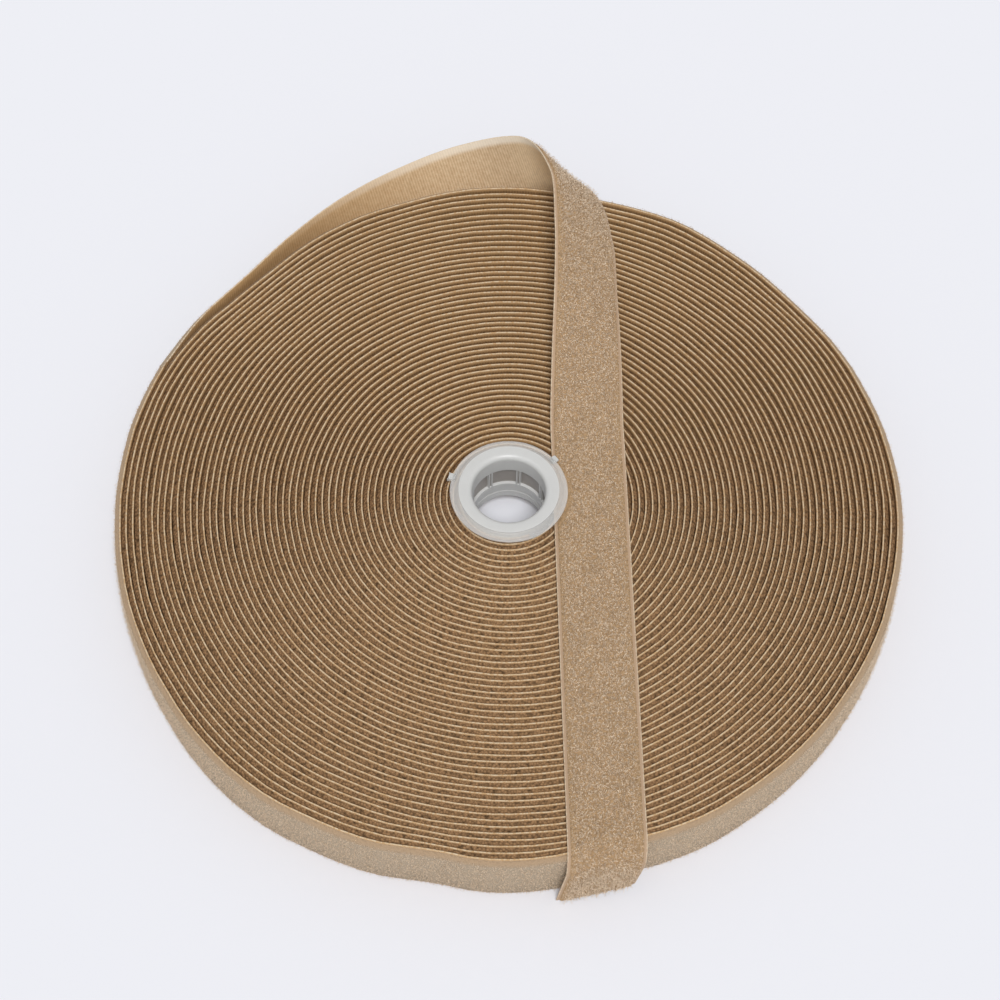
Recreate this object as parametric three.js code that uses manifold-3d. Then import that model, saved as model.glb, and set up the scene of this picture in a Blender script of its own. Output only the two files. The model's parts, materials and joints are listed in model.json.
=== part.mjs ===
// Roll of loop fastening tape, wound flat on a two-part moulded core, with its free end
// standing in a loop behind the coil and lying across the top. Millimetres, +Z up.
import * as THREE from 'three';
import { mergeVertices } from 'three/addons/utils/BufferGeometryUtils.js';
import Module from 'manifold-3d';

// Tape and coil
const TAPE_WIDTH = 25;
const TAPE_THICKNESS = 1.7;
const LOOP_GAP = 0.5;
const COIL_RADIUS = 132.4;
const WOUND_LOOPS = 24;
const STEPS_PER_LOOP = 36;
const COIL_END_ANGLE = 155;

// Core
const BORE_RADIUS = 12.25;
const TUBE_WALL = 2.15;
const FLANGE_OVERHANG = 5.4;
const FLANGE_THICKNESS = 0.9;
const RIM_WIDTH = 1.75;
const CROWN_HEIGHT = 1.9;
const CROWN_SHOULDER = 1.2;
const MOUTH_ROUNDING = 3;
const CORE_BASE_HEIGHT = 5.5;
const LOWER_RING_HEIGHT = 4;
const SOCKET_DEPTH = 3.8;
const SOCKET_WALL = 0.9;
const CORE_SEGMENTS = 48;
const MOUTH_STEPS = 4;
const ARC_SEGMENTS = 12;

// Thin panels round the bore, and lugs round the flange
const PANEL_COUNT = 8;
const PANEL_HEIGHT = 8.5;
const PANEL_DEPTH = 1;
const PANEL_RIB_WIDTH = 1.5;
const PANEL_FIRST_ANGLE = 28;
const PANEL_LIFT = 0.5;
const LUG_COUNT = 2;
const LUG_SPACING = 125;
const LUG_WIDTH = 2.4;
const LUG_REACH = 1.1;
const LUG_FIRST_ANGLE = 38;

// Strip that sticks the first turn to the core
const STRIP_THICKNESS = 0.4;
const STRIP_MARGIN = 1.25;
const STRIP_FIRST_ANGLE = 180;
const STRIP_SWEEP = 100;

// Free end of the tape
const STRAP_EDGE_GAP = 0.5;
const HINGE_FROM_FLANGE = 4.2;
const PILE_ROOM = 1.3;
const FRONT_BEND_RADIUS = 3;
const FRONT_FOLD_SKEW = 7;
const FRONT_STANDOFF = 0.9;
const FRONT_END_HEIGHT = 1;
const FRONT_BEND_STEPS = 6;

// Clearance between pieces that touch
const SEAT_GAP = 0.3;

// Where the tape's middle runs behind the coil: angle round the core, distance outside the rim,
// rise above the coil's mid height, and lean of the tape from upright (outwards is positive).
const LOOP_STATIONS = [
  { angle: 144.5, outside: -0.3, rise: 0, lean: 0 },
  { angle: 134, outside: 0.4, rise: 0, lean: 0 },
  { angle: 124, outside: 1.7, rise: 0.2, lean: 6 },
  { angle: 114, outside: 4.2, rise: 0.7, lean: 18 },
  { angle: 104, outside: 6.9, rise: 2.6, lean: 31 },
  { angle: 94.5, outside: 9.2, rise: 7, lean: 36 },
  { angle: 85.5, outside: 7.8, rise: 15.8, lean: 10 },
];

// Where it comes down over the coil: distance inside the rim, distance to the side of the
// strap's line, rise above the strap's rest height, and lean.
const DESCENT_STATIONS = [
  { inside: 8.6, aside: -1.8, rise: 12, lean: -39 },
  { inside: 32, aside: 1.7, rise: 13.5, lean: -57 },
  { inside: 56, aside: 1.6, rise: 10, lean: -64 },
  { inside: 79.5, aside: 0.9, rise: 5.5, lean: -76 },
];

// Where it settles by the core: distance short of the flange, rise and lean.
const SETTLING_STATIONS = [
  { short: 10, rise: 1.6, lean: -87 },
  { short: 0, rise: 0.3, lean: -90 },
  { short: -15, rise: 0, lean: -90 },
];
const STEPS_PER_STATION = 4;

const COLOURS = { tape: '#b09477', core: '#c9cac6', strip: '#e6dfcd' };

// Sizes worked out from the ones above
const TURN_PITCH = TAPE_THICKNESS + LOOP_GAP;
const TUBE_RADIUS = BORE_RADIUS + TUBE_WALL;
const FLANGE_RADIUS = TUBE_RADIUS + FLANGE_OVERHANG;
const CROWN_RADIUS = FLANGE_RADIUS - RIM_WIDTH;
const OUTER_TURN_RADIUS = COIL_RADIUS - TAPE_THICKNESS / 2;
const FIRST_LOOP_RADIUS = OUTER_TURN_RADIUS - WOUND_LOOPS * TURN_PITCH;
const STRIP_RADIUS = TUBE_RADIUS + SEAT_GAP;
const WINDING_RADIUS = STRIP_RADIUS + STRIP_THICKNESS + SEAT_GAP;
const PLAIN_TURNS_RADIUS = FIRST_LOOP_RADIUS - TAPE_THICKNESS / 2 - LOOP_GAP;
const STRAP_OFFSET = TUBE_RADIUS + STRAP_EDGE_GAP + TAPE_WIDTH / 2;
const STRAP_HEIGHT = TAPE_WIDTH + SEAT_GAP + TAPE_THICKNESS / 2;
const FLANGE_UNDERSIDE = STRAP_HEIGHT + TAPE_THICKNESS / 2 + PILE_ROOM;
const JOINT_HEIGHT = CORE_BASE_HEIGHT + LOWER_RING_HEIGHT;
const HINGE_Y = -(FLANGE_RADIUS + HINGE_FROM_FLANGE);

const wasm = await Module();
wasm.setup();

const radians = THREE.MathUtils.degToRad;
const UP = new THREE.Vector3(0, 0, 1);

function polar(radius, degrees, height = 0) {
  const angle = radians(degrees);
  return new THREE.Vector3(radius * Math.cos(angle), radius * Math.sin(angle), height);
}

function toSolid(geometry) {
  const plain = geometry.clone();
  plain.deleteAttribute('normal');
  plain.deleteAttribute('uv');
  const merged = mergeVertices(plain, 1e-4);
  const vertProperties = new Float32Array(merged.attributes.position.array);
  const triVerts = new Uint32Array(merged.index.array);
  return new wasm.Manifold(new wasm.Mesh({ numProp: 3, vertProperties, triVerts }));
}

function toGeometry(solid) {
  const mesh = solid.getMesh();
  const geometry = new THREE.BufferGeometry();
  geometry.setAttribute('position', new THREE.BufferAttribute(mesh.vertProperties, 3));
  geometry.setIndex(new THREE.BufferAttribute(mesh.triVerts, 1));
  geometry.computeVertexNormals();
  return geometry;
}

// A ring turned about Z from a closed outline of [radius, height] points, anticlockwise
function turnedRing(outline, segments) {
  const points = [...outline, outline[0]].map(([radius, height]) => new THREE.Vector2(radius, height));
  const geometry = new THREE.LatheGeometry(points, segments);
  geometry.rotateX(Math.PI / 2);
  return geometry;
}

// A block between two radii and two angles, standing on a given height
function arcBlock(inner, outer, fromDegrees, toDegrees, bottom, height) {
  const shape = new THREE.Shape();
  shape.absarc(0, 0, outer, radians(fromDegrees), radians(toDegrees), false);
  shape.absarc(0, 0, inner, radians(toDegrees), radians(fromDegrees), true);
  shape.closePath();
  const settings = { depth: height, bevelEnabled: false, curveSegments: ARC_SEGMENTS };
  const geometry = new THREE.ExtrudeGeometry(shape, settings);
  geometry.translate(0, 0, bottom);
  return geometry;
}

// A flat strip through stations, each with its middle, its half width as a vector and its outward side
function stripGeometry(stations) {
  const positions = [];
  for (const { middle, half, out } of stations) {
    const face = out.clone().multiplyScalar(TAPE_THICKNESS / 2);
    for (const [side, depth] of [[1, 1], [-1, 1], [-1, -1], [1, -1]]) {
      const corner = middle.clone().addScaledVector(half, side).addScaledVector(face, depth);
      positions.push(corner.x, corner.y, corner.z);
    }
  }
  const index = [0, 1, 2, 0, 2, 3];
  const last = stations.length - 1;
  for (let i = 0; i < last; i += 1) {
    for (let corner = 0; corner < 4; corner += 1) {
      const here = 4 * i + corner;
      const beside = 4 * i + (corner + 1) % 4;
      index.push(here, here + 4, beside + 4, here, beside + 4, beside);
    }
  }
  index.push(4 * last + 3, 4 * last + 2, 4 * last + 1, 4 * last + 3, 4 * last + 1, 4 * last);
  const geometry = new THREE.BufferGeometry();
  geometry.setAttribute('position', new THREE.Float32BufferAttribute(positions, 3));
  geometry.setIndex(index);
  geometry.computeVertexNormals();
  return geometry;
}

// The outer loops are one strip on edge, spiralling out clockwise to the point where it leaves the coil
function spiralStations() {
  const count = WOUND_LOOPS * STEPS_PER_LOOP;
  const half = UP.clone().multiplyScalar(TAPE_WIDTH / 2);
  const stations = [];
  for (let step = 0; step <= count; step += 1) {
    const left = (count - step) / STEPS_PER_LOOP;
    const angle = COIL_END_ANGLE + 360 * left;
    const out = polar(1, angle);
    const middle = polar(OUTER_TURN_RADIUS - TURN_PITCH * left, angle, TAPE_WIDTH / 2);
    stations.push({ middle, half, out });
  }
  return stations;
}

// Both ends of the spiral run straight for one tape thickness
function withStraightEnds(stations) {
  const [first] = stations;
  const last = stations[stations.length - 1];
  const shifted = (station, way) => {
    const along = station.out.clone().cross(UP);
    return { ...station, middle: station.middle.clone().addScaledVector(along, way * TAPE_THICKNESS) };
  };
  return [shifted(first, -1), ...stations, shifted(last, 1)];
}

// Least distance from the inner face of each loop to the outer face of the loop within it
function leastLoopGap(stations) {
  const depth = TAPE_THICKNESS / 2;
  const segment = new THREE.Line3();
  const nearest = new THREE.Vector3();
  let least = Infinity;
  for (let i = STEPS_PER_LOOP + 1; i < stations.length; i += 1) {
    const inner = stations[i].middle.clone().addScaledVector(stations[i].out, -depth);
    for (let j = i - STEPS_PER_LOOP - 1; j < i - STEPS_PER_LOOP + 1; j += 1) {
      segment.start.copy(stations[j].middle).addScaledVector(stations[j].out, depth);
      segment.end.copy(stations[j + 1].middle).addScaledVector(stations[j + 1].out, depth);
      segment.closestPointToPoint(inner, true, nearest);
      least = Math.min(least, nearest.distanceTo(inner));
    }
  }
  return least;
}

// Middle points and leans of the free end, from the coil to the hinge line by the flange
function tailRoute() {
  const route = [];
  const leave = polar(1, COIL_END_ANGLE).cross(UP);
  const coilEnd = polar(OUTER_TURN_RADIUS, COIL_END_ANGLE, TAPE_WIDTH / 2);
  route.push({ point: coilEnd.addScaledVector(leave, TAPE_THICKNESS + SEAT_GAP), lean: 0 });
  for (const { angle, outside, rise, lean } of LOOP_STATIONS) {
    route.push({ point: polar(COIL_RADIUS + outside, angle, TAPE_WIDTH / 2 + rise), lean });
  }
  for (const { inside, aside, rise, lean } of DESCENT_STATIONS) {
    const point = new THREE.Vector3(STRAP_OFFSET + aside, COIL_RADIUS - inside, STRAP_HEIGHT + rise);
    route.push({ point, lean });
  }
  for (const { short, rise, lean } of SETTLING_STATIONS) {
    const point = new THREE.Vector3(STRAP_OFFSET, FLANGE_RADIUS + short, STRAP_HEIGHT + rise);
    route.push({ point, lean });
  }
  const hingeStart = new THREE.Vector3(STRAP_OFFSET, HINGE_Y + SEAT_GAP / 2, STRAP_HEIGHT);
  route.push({ point: hingeStart, lean: -90 });
  return route;
}

// Stations of the free end: the lean turns the tape about its own run, from upright
function tailStations() {
  const route = tailRoute();
  const path = new THREE.CatmullRomCurve3(route.map(({ point }) => point), false, 'catmullrom', 0.5);
  const leans = new THREE.CatmullRomCurve3(
    route.map(({ lean }) => new THREE.Vector3(lean, 0, 0)), false, 'catmullrom', 0.5);
  const count = (route.length - 1) * STEPS_PER_STATION;
  const stations = [];
  for (let step = 0; step <= count; step += 1) {
    const along = path.getTangent(step / count);
    const left = UP.clone().cross(along).normalize();
    const upright = along.clone().cross(left);
    const lean = radians(leans.getPoint(step / count).x);
    const across = upright.multiplyScalar(Math.cos(lean)).addScaledVector(left, Math.sin(lean));
    const out = across.clone().cross(along);
    const half = across.multiplyScalar(TAPE_WIDTH / 2);
    stations.push({ middle: path.getPoint(step / count), half, out });
  }
  return stations;
}

// The strap from the hinge line to the front rim, bent down there on a skewed line and on to the floor
function strapEndStations() {
  const along = new THREE.Vector3(0, -1, 0);
  const skew = radians(FRONT_FOLD_SKEW);
  const outward = new THREE.Vector3(Math.sin(skew), -Math.cos(skew), 0);
  const foldLine = new THREE.Vector3(Math.cos(skew), Math.sin(skew), 0);
  const slip = along.dot(foldLine) / along.dot(outward);
  const square = new THREE.Vector3(-TAPE_WIDTH / 2, 0, 0);
  const oblique = foldLine.clone().multiplyScalar(-TAPE_WIDTH / 2 / Math.cos(skew));

  const dropRadius = COIL_RADIUS + FRONT_STANDOFF + TAPE_THICKNESS / 2;
  const bendStart = new THREE.Vector3(STRAP_OFFSET, 0, STRAP_HEIGHT);
  bendStart.y = -(dropRadius - FRONT_BEND_RADIUS - STRAP_OFFSET * outward.x) / Math.cos(skew);
  const hingeEnd = new THREE.Vector3(STRAP_OFFSET, HINGE_Y - SEAT_GAP / 2, STRAP_HEIGHT);
  const stations = [
    { middle: hingeEnd, half: square, out: UP },
    { middle: hingeEnd.clone().lerp(bendStart, 0.5), half: square.clone().lerp(oblique, 0.5), out: UP },
  ];
  for (let step = 0; step <= FRONT_BEND_STEPS; step += 1) {
    const turn = (Math.PI / 2) * (step / FRONT_BEND_STEPS);
    const out = outward.clone().multiplyScalar(Math.sin(turn)).addScaledVector(UP, Math.cos(turn));
    const middle = bendStart.clone().addScaledVector(UP, -FRONT_BEND_RADIUS);
    middle.addScaledVector(out, FRONT_BEND_RADIUS);
    middle.addScaledVector(foldLine, slip * FRONT_BEND_RADIUS * turn);
    stations.push({ middle, half: oblique, out });
  }
  const drop = STRAP_HEIGHT - FRONT_BEND_RADIUS - FRONT_END_HEIGHT;
  const foot = stations[stations.length - 1].middle.clone().addScaledVector(UP, -drop);
  foot.addScaledVector(foldLine, slip * drop);
  stations.push({ middle: foot, half: oblique, out: outward });
  return stations;
}

// Upper core moulding: spigot, tube, flange and crown in one turned outline, anticlockwise from the bore
function coreUpperOutline() {
  const spigotRadius = TUBE_RADIUS - SOCKET_WALL - SEAT_GAP;
  const spigotTop = JOINT_HEIGHT + SOCKET_DEPTH;
  const flangeTop = FLANGE_UNDERSIDE + FLANGE_THICKNESS;
  const crownTop = FLANGE_UNDERSIDE + CROWN_HEIGHT;
  const outline = [
    [BORE_RADIUS, JOINT_HEIGHT],
    [spigotRadius, JOINT_HEIGHT],
    [spigotRadius, spigotTop],
    [TUBE_RADIUS, spigotTop],
    [TUBE_RADIUS, FLANGE_UNDERSIDE],
    [FLANGE_RADIUS, FLANGE_UNDERSIDE],
    [FLANGE_RADIUS, flangeTop],
    [CROWN_RADIUS, flangeTop],
    [CROWN_RADIUS - CROWN_SHOULDER, crownTop],
  ];
  for (let step = 0; step <= MOUTH_STEPS; step += 1) {
    const turn = (Math.PI / 2) * (step / MOUTH_STEPS);
    const radius = BORE_RADIUS + MOUTH_ROUNDING * (1 - Math.sin(turn));
    outline.push([radius, crownTop - MOUTH_ROUNDING * (1 - Math.cos(turn))]);
  }
  return outline;
}

function coreUpperGeometry() {
  let solid = toSolid(turnedRing(coreUpperOutline(), CORE_SEGMENTS));
  const panelBottom = JOINT_HEIGHT + SOCKET_DEPTH + PANEL_LIFT;
  const pitch = 360 / PANEL_COUNT;
  const ribHalf = THREE.MathUtils.radToDeg(PANEL_RIB_WIDTH / 2 / BORE_RADIUS);
  for (let i = 0; i < PANEL_COUNT; i += 1) {
    const rib = PANEL_FIRST_ANGLE + pitch * i;
    const inner = BORE_RADIUS - PANEL_DEPTH;
    const outer = BORE_RADIUS + PANEL_DEPTH;
    const from = rib + ribHalf;
    const to = rib + pitch - ribHalf;
    solid = solid.subtract(toSolid(arcBlock(inner, outer, from, to, panelBottom, PANEL_HEIGHT)));
  }
  for (let i = 0; i < LUG_COUNT; i += 1) {
    const root = FLANGE_RADIUS - LUG_REACH;
    const lug = new THREE.BoxGeometry(2 * LUG_REACH, LUG_WIDTH, FLANGE_THICKNESS);
    lug.translate(root + LUG_REACH, 0, FLANGE_UNDERSIDE + FLANGE_THICKNESS / 2);
    lug.rotateZ(radians(LUG_FIRST_ANGLE + LUG_SPACING * i));
    solid = solid.add(toSolid(lug));
  }
  return toGeometry(solid);
}

// Lower ring of the core, with the socket that takes the spigot
function coreLowerGeometry() {
  const socketRadius = TUBE_RADIUS - SOCKET_WALL;
  const seat = JOINT_HEIGHT - SEAT_GAP;
  const socketTop = JOINT_HEIGHT + SOCKET_DEPTH - SEAT_GAP;
  return turnedRing([
    [BORE_RADIUS, CORE_BASE_HEIGHT],
    [TUBE_RADIUS, CORE_BASE_HEIGHT],
    [TUBE_RADIUS, socketTop],
    [socketRadius, socketTop],
    [socketRadius, seat],
    [BORE_RADIUS, seat],
  ], CORE_SEGMENTS);
}

function startStripGeometry() {
  const bottom = CORE_BASE_HEIGHT + STRIP_MARGIN;
  const height = TAPE_WIDTH - STRIP_MARGIN - bottom;
  const outer = STRIP_RADIUS + STRIP_THICKNESS;
  const end = STRIP_FIRST_ANGLE + STRIP_SWEEP;
  return arcBlock(STRIP_RADIUS, outer, STRIP_FIRST_ANGLE, end, bottom, height);
}

// Inner turns as one plain block. Its outside follows the first loop all the way round, and steps in
// where that loop begins, square to the loop's end.
function innerTurnsGeometry() {
  const stepBack = THREE.MathUtils.radToDeg((TAPE_THICKNESS + SEAT_GAP) / FIRST_LOOP_RADIUS);
  const outside = (degrees) => {
    const { x, y } = polar(PLAIN_TURNS_RADIUS - TURN_PITCH * degrees / 360, COIL_END_ANGLE + degrees);
    return new THREE.Vector2(x, y);
  };
  const outline = [outside(stepBack)];
  for (let step = 0; step < STEPS_PER_LOOP; step += 1) {
    outline.push(outside(-360 * step / STEPS_PER_LOOP));
  }
  outline.push(outside(stepBack - 360));
  const shape = new THREE.Shape(outline.reverse());
  const bore = new THREE.Path();
  bore.absarc(0, 0, WINDING_RADIUS, 0, 2 * Math.PI, true);
  shape.holes.push(bore);
  const settings = { depth: TAPE_WIDTH, bevelEnabled: false, curveSegments: CORE_SEGMENTS / 2 };
  return new THREE.ExtrudeGeometry(shape, settings);
}

const tape = { color: COLOURS.tape, roughness: 0.95, metalness: 0 };
const plastic = { color: COLOURS.core, roughness: 0.35, metalness: 0 };
const adhesive = { color: COLOURS.strip, roughness: 0.6, metalness: 0 };
const spiral = spiralStations();
const pieces = [
  ['core_upper', coreUpperGeometry(), plastic],
  ['core_lower', coreLowerGeometry(), plastic],
  ['start_strip', startStripGeometry(), adhesive],
  ['inner_turns', innerTurnsGeometry(), tape],
  ['outer_turns', stripGeometry(withStraightEnds(spiral)), tape],
  ['tail_loop', stripGeometry(tailStations()), tape],
  ['tail_end', stripGeometry(strapEndStations()), tape],
];

const assembly = new THREE.Group();
for (const [name, geometry, finish] of pieces) {
  const mesh = new THREE.Mesh(geometry, new THREE.MeshStandardMaterial(finish));
  mesh.name = name;
  assembly.add(mesh);
}

// The origin is under the middle of the whole roll, at the level that it rests on
const extent = new THREE.Box3().setFromObject(assembly);
const middle = extent.getCenter(new THREE.Vector3());
assembly.position.set(-middle.x, -middle.y, -extent.min.z);
console.log(`core axis at ${(-middle.x).toFixed(3)}, ${(-middle.y).toFixed(3)}`);
console.log(`least gap between loops ${leastLoopGap(spiral).toFixed(3)} mm`);

const roll = new THREE.Group();
roll.add(assembly);

export default roll;
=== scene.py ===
import json
import math

import bmesh
import bpy
from bpy.props import FloatProperty, FloatVectorProperty, IntProperty, PointerProperty
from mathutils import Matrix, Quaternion, Vector


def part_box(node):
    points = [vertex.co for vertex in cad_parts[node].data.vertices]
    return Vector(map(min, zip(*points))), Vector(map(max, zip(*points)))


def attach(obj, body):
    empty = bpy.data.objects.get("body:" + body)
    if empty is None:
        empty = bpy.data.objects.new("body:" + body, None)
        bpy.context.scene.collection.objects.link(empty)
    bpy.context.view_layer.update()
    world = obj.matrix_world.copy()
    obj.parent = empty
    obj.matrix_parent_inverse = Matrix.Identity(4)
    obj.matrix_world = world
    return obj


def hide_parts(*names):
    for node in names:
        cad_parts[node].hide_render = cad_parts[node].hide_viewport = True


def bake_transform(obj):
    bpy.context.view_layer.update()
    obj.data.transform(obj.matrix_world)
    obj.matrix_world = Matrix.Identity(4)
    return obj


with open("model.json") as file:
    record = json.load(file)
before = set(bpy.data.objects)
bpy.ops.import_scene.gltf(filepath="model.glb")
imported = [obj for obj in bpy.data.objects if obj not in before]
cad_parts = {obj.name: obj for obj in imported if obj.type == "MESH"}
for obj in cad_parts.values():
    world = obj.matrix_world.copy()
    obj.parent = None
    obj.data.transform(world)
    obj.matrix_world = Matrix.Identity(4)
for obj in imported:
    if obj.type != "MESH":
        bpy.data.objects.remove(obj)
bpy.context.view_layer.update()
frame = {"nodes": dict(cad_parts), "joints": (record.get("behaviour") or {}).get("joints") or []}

bl_info = {
    "name": "Loop Tape Roll",
    "version": (1, 0, 0),
    "blender": (4, 5, 0),
    "location": "3D View > Sidebar > Tape Roll",
    "description": "Dresses a roll of loop fastening tape: wound turns, free end, pile, core and stage",
    "category": "Object",
}

MM = 0.001

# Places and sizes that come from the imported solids
CORE_LOW, CORE_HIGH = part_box("core_lower")
AXIS = Vector(((CORE_LOW.x + CORE_HIGH.x) / 2, (CORE_LOW.y + CORE_HIGH.y) / 2, 0.0))
TUBE_RADIUS = (CORE_HIGH.x - CORE_LOW.x) / 2
CROWN_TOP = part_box("core_upper")[1].z
TAPE_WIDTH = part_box("inner_turns")[1].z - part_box("inner_turns")[0].z
HINGE = Vector(frame["joints"][0]["pos_m"])

# The coil, as the solids have it
COIL_RADIUS = 132.4 * MM
TURN_PITCH = 2.2 * MM
SOLID_THICKNESS = 1.7 * MM
END_ANGLE = math.radians(155)
OUTER_TURNS = 24
FIRST_TURN_RADIUS = TUBE_RADIUS + 1.9 * MM
OUTER_TURN_RADIUS = COIL_RADIUS - SOLID_THICKNESS / 2
ALL_TURNS = (OUTER_TURN_RADIUS - FIRST_TURN_RADIUS) / TURN_PITCH
INNER_FACE = -SOLID_THICKNESS / 2

# Share of the outermost turn with raised pile: where the free end has just left it, down to this angle,
# it is still flat
FLAT_PILE_ANGLE = math.radians(108)
RAISED_TURN = 1 - (END_ANGLE - FLAT_PILE_ANGLE) / (2 * math.pi)

# Where the hand-wound coil is out of round: angle, half width of the place, how far its rim strays,
# and how far in from the rim that can be seen
OUT_OF_ROUND = (
    (135, 12, -3.7 * MM, 38 * MM),
    (90, 15, 2.7 * MM, 30 * MM),
    (61, 8, 1.9 * MM, 18 * MM),
    (37, 7, -1.1 * MM, 14 * MM),
    (0, 20, 0.8 * MM, 28 * MM),
    (281, 8, -2.0 * MM, 12 * MM),
    (258, 5, -1.6 * MM, 12 * MM),
    (230, 18, 2.0 * MM, 30 * MM),
    (180, 16, -0.8 * MM, 26 * MM),
)

# The free end, as the solids have it. Behind the coil: angle round the core, distance outside the
# rim, rise above mid height and lean from upright. Over the coil: distance inside the rim, distance
# beside the strap's line, rise above its rest height and lean. By the core: distance short of the
# flange, rise and lean.
LOOP_STATIONS = (
    (144.5, -0.3, 0.0, 0),
    (134.0, 0.4, 0.0, 0),
    (124.0, 1.7, 0.2, 6),
    (114.0, 4.2, 0.7, 18),
    (104.0, 6.9, 2.6, 31),
    (94.5, 9.2, 7.0, 36),
    (85.5, 7.8, 15.8, 10),
)
DESCENT_STATIONS = (
    (8.6, -1.6, 12.0, -39),
    (32.0, 1.7, 13.5, -57),
    (56.0, 1.6, 10.0, -64),
    (79.5, 0.9, 5.5, -76),
)
SETTLING_STATIONS = (
    (10.0, 1.6, -87),
    (0.0, 0.3, -90),
    (-15.0, 0.0, -90),
)

# How fast the rim's strays fade inwards, the share of them that the free end follows, and up to how many
# millimetres outside the rim
FADE_POWER = 1.3
TAIL_FOLLOWS = 0.55
FOLLOW_REACH = 5

# The strap and its fold, as the solids have them
SEAT_GAP = 0.3 * MM
STRAP_OFFSET = TUBE_RADIUS + 0.5 * MM + TAPE_WIDTH / 2
STRAP_HEIGHT = TAPE_WIDTH + SEAT_GAP + SOLID_THICKNESS / 2
FLANGE_RADIUS = TUBE_RADIUS + 5.4 * MM
BEND_RADIUS = 8 * MM
FOLD_SKEW = math.radians(8)
DROP_STANDOFF = 1.8 * MM
END_SLANT = 2.2 * MM
DROP_END_HEIGHT = 1 * MM

# Material slots of the core's upper part, after its plain walls
PANEL_SLOT = 1
FLANGE_SLOT = 2

# Depth of the groove along a rib of the core, as a share of a panel's
GROOVE_SHARE = 0.45

# The core's heights, as the solids have them
JOINT_HEIGHT = CORE_LOW.z + 4 * MM
SOCKET_TOP = JOINT_HEIGHT + 3.8 * MM
FLANGE_UNDERSIDE = CROWN_TOP - 1.9 * MM

# Edges sharper than these are shaded as edges: the tape's cut ends, and the core's creases
CUT_ANGLE = math.radians(80)
CREASE_ANGLE = math.radians(35)

# Places along the free end where its painted shade and painted light change, and where its pile and its
# loops settle
BROWN_END = 45 * MM
WARM_END = 170 * MM
LIT_RISE = (156 * MM, 182 * MM)
LIT_FALL = (205 * MM, 240 * MM)
GREY_END = 100 * MM
PILE_SETTLES = 45 * MM
LOOPS_SETTLE = 120 * MM

# The pile: size of a matted tuft, start beside the selvedge, how far in its painted shade deepens and its
# roots are painted as shade, width of the fringe where loops grow to their full height, how far loops are
# set in and sunk, and how far they keep from the flange
TUFT = 0.8 * MM
PILE_EDGE = 0.8 * MM
SHADE_END = 2.8 * MM
SHADED_ROOTS_END = 3.4 * MM
FRINGE = 2 * MM
LOOP_INSET = 0.1 * MM
RIM_SINK = 0.15 * MM
FLANGE_CLEARANCE = 0.6 * MM
FLANGE_FRINGE = 1.2 * MM

# Length over which the dip of a wound selvedge drifts
DIP_LENGTH = 22 * MM


def linear(code):
    """Linear colour of an sRGB hex code, with alpha 1"""
    parts = [int(code[i:i + 2], 16) / 255 for i in (1, 3, 5)]
    return [c / 12.92 if c <= 0.04045 else ((c + 0.055) / 1.055) ** 2.4 for c in parts] + [1.0]


def size(name, description, default):
    return FloatProperty(name=name, description=description, default=default, min=0.0, unit="LENGTH")


def level(name, description, default):
    return FloatProperty(name=name, description=description, default=default)


def number(name, description, default, least):
    return IntProperty(name=name, description=description, default=default, min=least)


def colour(name, description, code):
    return FloatVectorProperty(
        name=name, description=description, default=linear(code), size=4, min=0.0, max=1.0, subtype="COLOR")


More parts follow.
